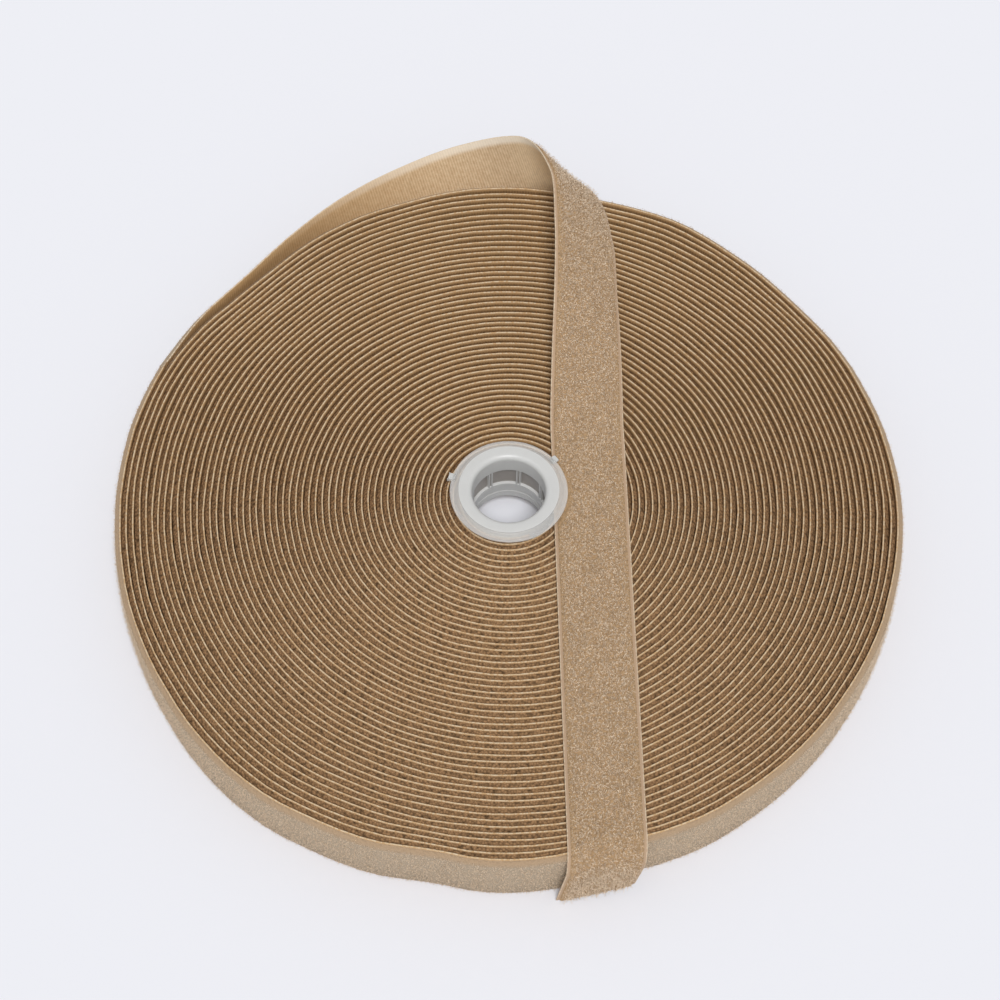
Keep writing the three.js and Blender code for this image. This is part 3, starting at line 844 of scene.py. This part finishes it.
def wound_tape_tree(tape):
    """Sweeps the tape's section along a stretch of the spiral, and sinks its selvedges unevenly.

    The place along the tape is 0 where the free end leaves the coil, and less before that.
    """
    tree, given = new_tree("wound_tape", {
        **PATH_INPUTS, "Edge dip": "Float",
        "Ground": "Material", "Pressed": "Material", "Rim": "Material"})
    curve, left = wound_path(tree, given)
    mean_radius = times(tree, left, -TURN_PITCH / 2, OUTER_TURN_RADIUS)
    along = times(tree, mean_radius, times(tree, left, -2 * math.pi))
    outline = put(tree, "GeometryNodeMeshToCurve", {"Mesh": given["Geometry"]})
    profile, section = captured(tree, outline, "VECTOR", put(tree, "GeometryNodeInputPosition"))
    sweep = put(tree, "GeometryNodeCurveToMesh", {
        "Curve": curve, "Profile Curve": profile, "Fill Caps": True})

    # The section's outline stands turned half round in the sweep
    depth, across, _ = [times(tree, axis, -1.0) for axis in split(tree, section)]
    placed = stored(
        tree, sweep, "tape_place", "FLOAT_VECTOR", "POINT", joined(tree, X=across, Y=along, Z=depth))

    # Selvedges lie a little under the face, by a share that drifts along the tape
    drift = joined(tree, X=times(tree, along, 1 / DIP_LENGTH), Y=math_node(tree, "SIGN", across))
    dip = times(tree, noise(tree, drift, grain=1.0, detail=3.0, roughness=0.6), given["Edge dip"])
    dip = times(tree, dip, math_node(tree, "DIVIDE", across, -TAPE_WIDTH / 2))
    sunk = put(tree, "GeometryNodeSetPosition", {"Geometry": placed, "Offset": joined(tree, Z=dip)})
    rounded = put(tree, "GeometryNodeSetShadeSmooth", {"Geometry": sunk})

    just_above = 0.05 * MM
    on_pile = math_node(tree, "GREATER_THAN", depth, INNER_FACE + tape.ground + just_above)
    on_rim = times(tree, on_pile, math_node(tree, "LESS_THAN", left, 1.0))
    dressed = covered(tree, rounded, given["Ground"])
    dressed = covered(tree, dressed, given["Pressed"], on_pile)
    dressed = covered(tree, dressed, given["Rim"], on_rim)
    whole = put(tree, "GeometryNodeRealizeInstances", {"Geometry": dressed})
    add_node(tree, "NodeGroupOutput", links={0: whole})
    return tree


LOOP_INPUTS = {
    "Density": "Float", "Loop width": "Float", "Loop height": "Float", "Yarn": "Float",
    "Evenness": "Float", "Seed": "Int", "Material": "Material"}

# Width, height, thickness and number of the plain loops, and of the long thin ones that stray from
# the pile, as shares of the settings, and how much paler they are, which is painted light as if lit from
# behind
PLAIN_LOOPS = (1.0, 1.0, 1.0, 0.85, 0.0)
STRAY_LOOPS = (1.6, 2.6, 0.24, 0.5, 0.3)

# Loops: the tone of an even pile, the range of a loop's own, the size and share of a patch of one tone,
# the share of its height that a loop needs, how far it leans in radians, and its least and greatest size
EVEN_TONE = 0.62
TONE_CHANCE = (-0.3, 0.9)
TONE_PATCH = 3.5 * MM
PATCH_SHARE = 0.4
LEAST_SHARE = 0.2
LEAN = 0.8
SMALLEST = (0.7, 0.8, 0.5)
LARGEST = (1.3, 1.2, 1.2)


def one_loop(tree, given, wide, high, thick):
    """Nodes for a loop of yarn, flattened on its map, with its feet on the ground"""
    width = times(tree, given["Loop width"], wide)
    height = times(tree, given["Loop height"], high)
    arch = put(tree, "GeometryNodeCurveArc", {
        "Resolution": 4, "Radius": 1.0, "Start Angle": 0.0, "Sweep Angle": math.pi}, {"mode": "RADIUS"})
    upright = put(tree, "GeometryNodeTransform", {
        "Geometry": arch, "Rotation": (math.pi / 2, 0.0, 0.0),
        "Scale": joined(tree, X=times(tree, width, 0.5), Y=height, Z=1.0)})
    yarn = put(tree, "GeometryNodeCurvePrimitiveCircle", {
        "Resolution": 3, "Radius": times(tree, given["Yarn"], thick / 2)}, {"mode": "RADIUS"})
    loop = put(tree, "GeometryNodeCurveToMesh", {"Curve": upright, "Profile Curve": yarn})
    x, _, z = split(tree, put(tree, "GeometryNodeInputPosition"))
    flat = joined(tree, X=math_node(tree, "DIVIDE", x, width), Y=math_node(tree, "DIVIDE", z, height))
    mapped = stored(tree, loop, "OFBake", "FLOAT2", "CORNER", flat)
    return put(tree, "GeometryNodeSetShadeSmooth", {"Geometry": mapped})


def standing_loops(tree, given, surface, wide, high, thick, many, paler):
    """Nodes that stand loops on a surface, each with its own lean, size and tone"""
    seed = math_node(tree, "ADD", given["Seed"], 100 * wide)
    points = add_node(tree, "GeometryNodeDistributePointsOnFaces", {"distribute_method": "RANDOM"}, {
        "Mesh": surface, "Density": times(tree, given["Density"], many), "Seed": seed})

    # Loops differ one by one and in patches, and less so in an even pile
    least, most = TONE_CHANCE
    chance = chosen(tree, "FLOAT", paler + least, paler + most, seed)
    patches = noise(tree, put(tree, "GeometryNodeInputPosition"), grain=TONE_PATCH, detail=2.0)
    tone = put(tree, "ShaderNodeMath", {
        0: patches, 1: PATCH_SHARE, 2: chance}, {"operation": "MULTIPLY_ADD", "use_clamp": True})
    even = put(tree, "ShaderNodeMix", {
        "Factor": given["Evenness"], "A": tone, "B": EVEN_TONE}, {"data_type": "FLOAT"})
    toned = stored(tree, points.outputs["Points"], "tone", "FLOAT", "POINT", even)

    turn = chosen(tree, "FLOAT_VECTOR", (-LEAN, -LEAN, 0.0), (LEAN, LEAN, 2 * math.pi),
                  math_node(tree, "ADD", seed, 1.0))
    lean = put(tree, "FunctionNodeEulerToRotation", {"Euler": turn})
    turned = put(tree, "FunctionNodeRotateRotation", {
        "Rotation": points.outputs["Rotation"], "Rotate By": lean}, {"rotation_space": "LOCAL"})
    share = attribute(tree, "pile_share", "FLOAT")
    grow = chosen(tree, "FLOAT_VECTOR", SMALLEST, LARGEST, math_node(tree, "ADD", seed, 2.0))
    scale = put(tree, "ShaderNodeVectorMath", {"Vector": grow, "Scale": share}, {"operation": "SCALE"})
    return put(tree, "GeometryNodeInstanceOnPoints", {
        "Points": toned, "Selection": math_node(tree, "GREATER_THAN", share, LEAST_SHARE),
        "Instance": one_loop(tree, given, wide, high, thick), "Rotation": turned, "Scale": scale})


def add_loops(tree, given, surface):
    """Nodes that cover a surface with pile. Its attribute pile_share sets how high the loops stand"""
    both = add_node(tree, "GeometryNodeJoinGeometry")
    for shares in (PLAIN_LOOPS, STRAY_LOOPS):
        tree.links.new(standing_loops(tree, given, surface, *shares), both.inputs[0])
    whole = put(tree, "GeometryNodeRealizeInstances", {"Geometry": result(both)})

    # Each loop keeps a narrow column of the map, at its own tone and clear of the map's edges
    clear, wide, tall, foot = 0.03, 0.04, 0.8, 0.12
    x, y, _ = split(tree, attribute(tree, "OFBake", "FLOAT_VECTOR"))
    tone = times(tree, attribute(tree, "tone", "FLOAT"), 1 - 2 * clear, clear)
    column = joined(tree, X=times(tree, x, wide, tone), Y=times(tree, y, tall, foot))
    kept = stored(tree, whole, "OFBake", "FLOAT2", "CORNER", column)
    for name in ("tone", "pile_share"):
        kept = put(tree, "GeometryNodeRemoveAttribute", {"Geometry": kept, "Name": name})
    add_node(tree, "NodeGroupOutput", links={0: covered(tree, kept, given["Material"])})


def strip_pile_tree():
    """Loops on the pile side of a flat stretch of tape, given as a mesh"""
    tree, given = new_tree("strip_pile", LOOP_INPUTS)
    add_loops(tree, given, given["Geometry"])
    return tree


def rim_pile_tree():
    """Loops on the pile side of the outermost turn, given as a line across the tape with its pile_share"""
    tree, given = new_tree("rim_pile", {**PATH_INPUTS, **LOOP_INPUTS})
    across = put(tree, "GeometryNodeMeshToCurve", {"Mesh": given["Geometry"]})
    sweep = put(tree, "GeometryNodeCurveToMesh", {
        "Curve": wound_path(tree, given)[0], "Profile Curve": across})
    add_loops(tree, given, sweep)
    return tree


def fringe(from_margin):
    """Share of their full height that loops have at a distance from the plain margin"""
    lowest = 0.5
    return lowest + (1 - lowest) * min(1.0, from_margin / FRINGE)


def share_pile(mesh, shares):
    """Keeps how high the loops stand at each point of a mesh"""
    layer = mesh.attributes.new("pile_share", "FLOAT", "POINT")
    layer.data.foreach_set("value", shares)


def loop_values(tape, per_square_cm, evenness, seed):
    return {
        "Density": per_square_cm * 1e4,
        "Loop width": tape.loop_width,
        "Loop height": tape.loop_height,
        "Yarn": tape.yarn,
        "Evenness": evenness,
        "Seed": seed,
        "Material": kept_material(napped_loops, "napped_nylon_loops", tape),
    }


# Core


def core_angles(core):
    """(angle, panel share) round the bore: 0 on a rib, 1 in a panel, and a shallow groove along each rib"""
    chamfer = 0.14 * MM / core.bore
    half = core.rib / 2 / core.bore
    groove = 0.2 * MM / core.bore
    pitch = 2 * math.pi / core.panels
    first = math.radians(28)
    steps = 9
    found = []
    for i in range(core.panels):
        rib = first + pitch * i
        for off, share in ((-half, 0), (-groove - chamfer, 0), (-groove, GROOVE_SHARE),
                           (groove, GROOVE_SHARE), (groove + chamfer, 0), (half, 0), (half + chamfer, 1)):
            found.append((rib + off, share))
        inside = pitch - 2 * half - 2 * chamfer
        for step in range(1, steps + 1):
            found.append((rib + half + chamfer + inside * step / steps, 1))
    return found


def lathe(name, outline, angles, materials):
    """Closed ring from (radius, height, panel depth, slot) points. A slot is for the faces after it"""
    verts, faces, slots = [], [], []
    for angle, share in angles:
        for radius, height, depth, _ in outline:
            reach = radius + share * depth
            verts.append(AXIS + Vector((reach * math.cos(angle), reach * math.sin(angle), height)))
    n, m = len(outline), len(angles)
    for i in range(m):
        after = (i + 1) % m
        for j in range(n):
            k = (j + 1) % n
            faces.append((n * i + j, n * after + j, n * after + k, n * i + k))
            set_back = min(angles[i][1], angles[after][1]) >= GROOVE_SHARE
            panel = set_back and outline[j][2] and outline[k][2]
            slots.append(PANEL_SLOT if panel else outline[j][3])
    mesh = new_mesh(name, verts, (), faces, materials, slots)
    mesh.shade_smooth()
    mesh.set_sharp_from_angle(angle=CREASE_ANGLE)
    return new_object(name, mesh)


def wall(*points, slot=0):
    """Outline points with no panel, from (radius, height)"""
    return [(radius, height, 0.0, slot) for radius, height in points]


def arc(centre, radius, start, end, steps, slot=0):
    """Outline points on an arc between two angles in degrees"""
    turns = [math.radians(start + (end - start) * i / steps) for i in range(steps + 1)]
    return wall(*[(centre[0] + radius * math.cos(turn), centre[1] + radius * math.sin(turn))
                  for turn in turns], slot=slot)


def upper_outline(core):
    """Spigot, tube, flange, crown and bore of the upper moulding, anticlockwise from the spigot"""
    spigot = TUBE_RADIUS - 1.2 * MM
    flange_top = FLANGE_UNDERSIDE + core.flange
    crown = FLANGE_RADIUS - core.rim
    edge = core.flange / 2
    soft = 0.35 * MM
    step = 0.14 * MM
    slope = core.shoulder * 0.8
    panel_low = SOCKET_TOP + 0.5 * MM
    panel_high = panel_low + core.panel_height
    points = wall(
        (core.bore, JOINT_HEIGHT), (spigot, JOINT_HEIGHT), (spigot, SOCKET_TOP), (TUBE_RADIUS, SOCKET_TOP))
    points += wall((TUBE_RADIUS, FLANGE_UNDERSIDE), slot=FLANGE_SLOT)
    points += arc((FLANGE_RADIUS - edge, FLANGE_UNDERSIDE + edge), edge, -90, 90, 6, FLANGE_SLOT)
    points += wall((crown + soft, flange_top), (crown, flange_top + soft), slot=FLANGE_SLOT)
    points += arc((crown - core.shoulder, CROWN_TOP - slope), slope, 45, 90, 4, FLANGE_SLOT)[:-1]
    points += wall((crown - core.shoulder, CROWN_TOP))
    points += arc((core.bore + core.mouth, CROWN_TOP - core.mouth), core.mouth, 90, 180, 8)
    points += [
        (core.bore, panel_high + step, 0.0, 0),
        (core.bore, panel_high, core.panel_depth, 0),
        (core.bore, panel_low, core.panel_depth, 0),
        (core.bore, panel_low - step, 0.0, 0),
    ]
    return points


def lower_outline(core):
    """Lower ring with the socket that takes the spigot, anticlockwise from the bore"""
    socket = TUBE_RADIUS - 0.9 * MM
    seat = JOINT_HEIGHT - SEAT_GAP
    soft = 0.4 * MM
    return wall(
        (core.bore, CORE_LOW.z + soft), (core.bore + soft, CORE_LOW.z), (TUBE_RADIUS, CORE_LOW.z),
        (TUBE_RADIUS, SOCKET_TOP - SEAT_GAP), (socket, SOCKET_TOP - SEAT_GAP), (socket, seat),
        (core.bore + soft, seat), (core.bore, seat - soft))


def add_lugs(piece, core):
    """Small blocks round the flange's edge, with softened edges"""
    reach = 1.1 * MM
    wide = 2.4 * MM
    soft = 0.2 * MM
    first, step = math.radians(38), math.radians(125)
    shape = bmesh.new()
    shape.from_mesh(piece.data)
    for i in range(core.lugs):
        turn = Quaternion((0, 0, 1), first + step * i)
        lug = bmesh.ops.create_cube(shape, size=1.0)["verts"]
        for vert in lug:
            local = Vector((vert.co.x * 2 * reach, vert.co.y * wide, vert.co.z * core.flange))
            local += Vector((FLANGE_RADIUS, 0, FLANGE_UNDERSIDE + core.flange / 2))
            vert.co = AXIS + turn @ local
        edges = {edge for vert in lug for edge in vert.link_edges}
        bmesh.ops.bevel(shape, geom=list(edges), offset=soft, segments=2, affect="EDGES")
    shape.to_mesh(piece.data)
    shape.free()


# Operators


class TAPE_OT_wind_turns(bpy.types.Operator):
    """Wind the tape into the coil's inner and outer turns"""
    bl_idname = "tape_roll.wind_turns"
    bl_label = "Wind Turns"

    def execute(self, context):
        tape = context.scene.loop_tape
        tree = wound_tape_tree(tape)
        outline = tape_section(tape, tape.wound_pile, tape.wound_margin, tape.wound_slope)
        count = len(outline)
        for name, node, first, turns, steps in (
                ("inner_tape", "inner_turns", ALL_TURNS, ALL_TURNS - OUTER_TURNS, tape.steps * 3 // 4),
                ("outer_tape", "outer_turns", OUTER_TURNS, OUTER_TURNS, tape.steps)):
            mesh = new_mesh(
                name, [(-depth, -across, 0.0) for depth, across, _ in outline],
                [(i, (i + 1) % count) for i in range(count)])
            piece = grown(name, mesh, tree, {
                "First turn": first, "Turns": turns, "Steps": steps,
                "Wobble": tape.wobble, "Edge dip": tape.edge_dip,
                **tape_materials(tape)})
            piece.data.set_sharp_from_angle(angle=CUT_ANGLE)
            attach(piece, "roll")
            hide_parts(node)
        return {"FINISHED"}


class TAPE_OT_raise_rim_pile(bpy.types.Operator):
    """Stand the pile up on the outermost turn"""
    bl_idname = "tape_roll.raise_rim_pile"
    bl_label = "Raise Rim Pile"

    def execute(self, context):
        tape = context.scene.loop_tape
        tree = rim_pile_tree()
        half = TAPE_WIDTH / 2 - tape.margin - LOOP_INSET
        depth = INNER_FACE + tape.ground + tape.wound_pile - RIM_SINK
        columns = 12
        height, evenness = 0.75, 0.75
        sides = [half * (1 - 2 * i / columns) for i in range(columns + 1)]
        stretches = ("left", "near_left", "near", "right", "far")
        part = RAISED_TURN / len(stretches)
        for i, name in enumerate(stretches):
            mesh = new_mesh(
                name, [(-depth, side, 0.0) for side in sides], [(k, k + 1) for k in range(columns)])
            share_pile(mesh, [height * fringe(half - abs(side)) for side in sides])
            piece = grown("rim_pile_" + name, mesh, tree, {
                **loop_values(tape, tape.rim_loops, evenness, 10 * i + 3),
                "First turn": (i + 1) * part, "Turns": part,
                "Steps": tape.steps, "Wobble": tape.wobble})
            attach(piece, "roll")
        return {"FINISHED"}


class TAPE_OT_lay_tail(bpy.types.Operator):
    """Lay the free end behind the coil, over its face and down the front, with its pile"""
    bl_idname = "tape_roll.lay_tail"
    bl_label = "Lay Tail"

    def execute(self, context):
        tape = context.scene.loop_tape
        spacing = 2 * MM
        stations = tail_stations(steps=14, end_radius=turn_end(bpy.data.objects["outer_tape"]))
        stations += strap_stations(spacing)
        made = tape_materials(tape)
        section = tape_section(tape, tape.free_pile, tape.margin, slope=0.6 * MM, spare=5)
        piece = swept_tape("tail_tape", stations, section, tape, [made["Free"], made["Bed"]])
        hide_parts("tail_loop", "tail_end")
        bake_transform(piece)

        tree = strip_pile_tree()
        reached = lengths(stations)
        names = ("tail_pile_arch", "tail_pile_twist", "tail_pile_strap", "tail_pile_front")
        cuts = [min(range(len(reached)), key=lambda k: abs(reached[k] - reached[-1] * i / len(names)))
                for i in range(len(names) + 1)]
        for i, name in enumerate(names):
            stretch = slice(cuts[i], cuts[i + 1] + 1)
            mesh = self.pile_surface(tape, name, stations[stretch], reached[stretch])
            pile = grown(name, mesh, tree, loop_values(tape, tape.tail_loops, 0.0, 10 * i + 5))
            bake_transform(pile)
        return {"FINISHED"}

    def pile_surface(self, tape, name, stations, reached):
        """Strip that carries the loops: lower by the selvedges, and none where the core's flange lies"""
        columns = 24
        start_share = 0.55
        half = TAPE_WIDTH / 2 - tape.margin - LOOP_INSET
        verts, shares, faces = [], [], []
        for (middle, across, out), along in zip(stations, reached):
            depth = INNER_FACE + tape.ground + tape.free_pile * fullness(tape, along) - LOOP_INSET
            for j in range(columns + 1):
                side = half * (2 * j / columns - 1)
                point = middle + across * (2 * side / TAPE_WIDTH) + out * depth
                verts.append(point)
                clear = (point.xy - AXIS.xy).length - FLANGE_RADIUS - FLANGE_CLEARANCE
                share = fringe(half - abs(side)) * min(1.0, start_share + along / LOOPS_SETTLE)
                shares.append(share * min(1.0, max(0.0, clear / FLANGE_FRINGE)))
        for i in range(len(stations) - 1):
            for j in range(columns):
                at = i * (columns + 1) + j
                faces.append((at, at + 1, at + columns + 2, at + columns + 1))
        mesh = new_mesh(name, verts, (), faces)
        share_pile(mesh, shares)
        return mesh


class TAPE_OT_mould_core(bpy.types.Operator):
    """Mould the core's upper and lower parts"""
    bl_idname = "tape_roll.mould_core"
    bl_label = "Mould Core"

    def execute(self, context):
        core = context.scene.tape_core
        resin = polypropylene("natural_polypropylene", core.resin, clear=0.1, cover=1.0)
        thin = polypropylene("thin_polypropylene", core.thin, clear=0.1, cover=1.0)
        flange = polypropylene("flange_polypropylene", core.veil, clear=0.0, cover=0.33)
        upper = lathe("core_flange", upper_outline(core), core_angles(core), [resin, thin, flange])
        add_lugs(upper, core)
        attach(upper, "roll")
        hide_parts("core_upper")
        sides = 96
        plain = [(2 * math.pi * i / sides, 0) for i in range(sides)]
        lower = lathe("core_ring", lower_outline(core), plain, [resin])
        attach(lower, "roll")
        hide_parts("core_lower")
        return {"FINISHED"}


class TAPE_OT_finish_strip(bpy.types.Operator):
    """Give the strip under the first turn its finish"""
    bl_idname = "tape_roll.finish_strip"
    bl_label = "Finish Strip"

    def execute(self, context):
        strip = frame["nodes"]["start_strip"]
        strip.data.materials.clear()
        strip.data.materials.append(kept_material(adhesive_film, "adhesive_film", context.scene.tape_core))
        return {"FINISHED"}


# The camera's target beside the core, the lamp's direction and spread, and the floor's radius in metres
CAMERA_TARGET = AXIS + Vector((-2.41, 13.95, 0)) * MM
LAMP_TOWARDS = Vector((0.04, -0.45, 0.89)).normalized()
LAMP_SPREAD = math.radians(20)
FLOOR_RADIUS = 6.0


class TAPE_OT_set_stage(bpy.types.Operator):
    """Set the camera, the pale floor and the soft light"""
    bl_idname = "tape_roll.set_stage"
    bl_label = "Set Stage"

    def execute(self, context):
        stage = context.scene.tape_stage
        self.place_camera(context.scene, stage)
        self.lay_floor(stage)
        self.light(context.scene, stage)
        context.scene.view_settings.view_transform = "Standard"
        return {"FINISHED"}

    def place_camera(self, scene, stage):
        data = bpy.data.cameras.new("camera")
        data.lens = stage.lens
        camera = new_object("camera", data)
        azimuth, elevation = math.radians(stage.azimuth), math.radians(stage.elevation)
        back = Vector((
            math.sin(azimuth) * math.cos(elevation),
            -math.cos(azimuth) * math.cos(elevation),
            math.sin(elevation)))
        camera.location = CAMERA_TARGET + back * stage.distance
        camera.rotation_mode = "QUATERNION"
        roll = Quaternion((0, 0, 1), math.radians(stage.roll))
        camera.rotation_quaternion = (-back).to_track_quat("-Z", "Y") @ roll
        data.clip_start = 10 * MM
        data.clip_end = 100.0
        scene.camera = camera

    def lay_floor(self, stage):
        """Wide matt board that keeps the roll's shadow"""
        shape = bmesh.new()
        bmesh.ops.create_circle(shape, cap_ends=True, segments=96, radius=FLOOR_RADIUS)
        mesh = bpy.data.meshes.new("floor")
        shape.to_mesh(mesh)
        shape.free()
        material, _, shader = new_material("matt_board")
        shader.inputs["Base Color"].default_value = stage.floor
        shader.inputs["Roughness"].default_value = 1.0
        shader.inputs["Specular IOR Level"].default_value = 0.0
        mesh.materials.append(material)
        new_object("floor", mesh)

    def light(self, scene, stage):
        """Even light from all round, and one broad soft lamp from the camera's side"""
        world = bpy.data.worlds.new("studio")
        scene.world = world
        world.use_nodes = True
        tree = world.node_tree
        background = tree.nodes["Background"]
        path = add_node(tree, "ShaderNodeLightPath")
        seen = math_node(tree, "MAXIMUM", path.outputs["Is Camera Ray"], math_node(
            tree, "MAXIMUM", path.outputs["Is Glossy Ray"], path.outputs["Is Transmission Ray"]))
        shade = mixed(tree, seen, (1.0, 1.0, 1.0, 1.0), stage.floor)
        tree.links.new(shade, background.inputs["Color"])
        strength = times(tree, seen, 1.0 - stage.dome, stage.dome)
        tree.links.new(strength, background.inputs["Strength"])

        data = bpy.data.lights.new("soft_lamp", "SUN")
        lamp = new_object("soft_lamp", data)
        data.energy = stage.lamp * math.pi / LAMP_TOWARDS.z
        data.angle = LAMP_SPREAD
        lamp.rotation_mode = "QUATERNION"
        lamp.rotation_quaternion = (-LAMP_TOWARDS).to_track_quat("-Z", "Y")


class TAPE_PT_roll(bpy.types.Panel):
    """Sizes, colours and steps of the tape roll"""
    bl_label = "Tape Roll"
    bl_idname = "TAPE_PT_roll"
    bl_space_type = "VIEW_3D"
    bl_region_type = "UI"
    bl_category = "Tape Roll"

    def draw(self, context):
        layout = self.layout
        for step in STEPS:
            layout.operator(step.bl_idname)
        for group in (context.scene.loop_tape, context.scene.tape_core, context.scene.tape_stage):
            box = layout.box()
            for name in group.bl_rna.properties.keys():
                if name not in ("rna_type", "name"):
                    box.prop(group, name)


STEPS = (
    TAPE_OT_set_stage,
    TAPE_OT_wind_turns,
    TAPE_OT_raise_rim_pile,
    TAPE_OT_lay_tail,
    TAPE_OT_mould_core,
    TAPE_OT_finish_strip,
)
CLASSES = (TapeSettings, CoreSettings, StageSettings, *STEPS, TAPE_PT_roll)


def register():
    for cls in CLASSES:
        bpy.utils.register_class(cls)
    bpy.types.Scene.loop_tape = PointerProperty(type=TapeSettings)
    bpy.types.Scene.tape_core = PointerProperty(type=CoreSettings)
    bpy.types.Scene.tape_stage = PointerProperty(type=StageSettings)


def unregister():
    del bpy.types.Scene.tape_stage
    del bpy.types.Scene.tape_core
    del bpy.types.Scene.loop_tape
    for cls in reversed(CLASSES):
        bpy.utils.unregister_class(cls)


def main():
    register()
    bpy.ops.tape_roll.set_stage()
    bpy.ops.tape_roll.wind_turns()
    bpy.ops.tape_roll.raise_rim_pile()
    bpy.ops.tape_roll.lay_tail()
    bpy.ops.tape_roll.mould_core()
    bpy.ops.tape_roll.finish_strip()


if __name__ == "__main__":
    main()
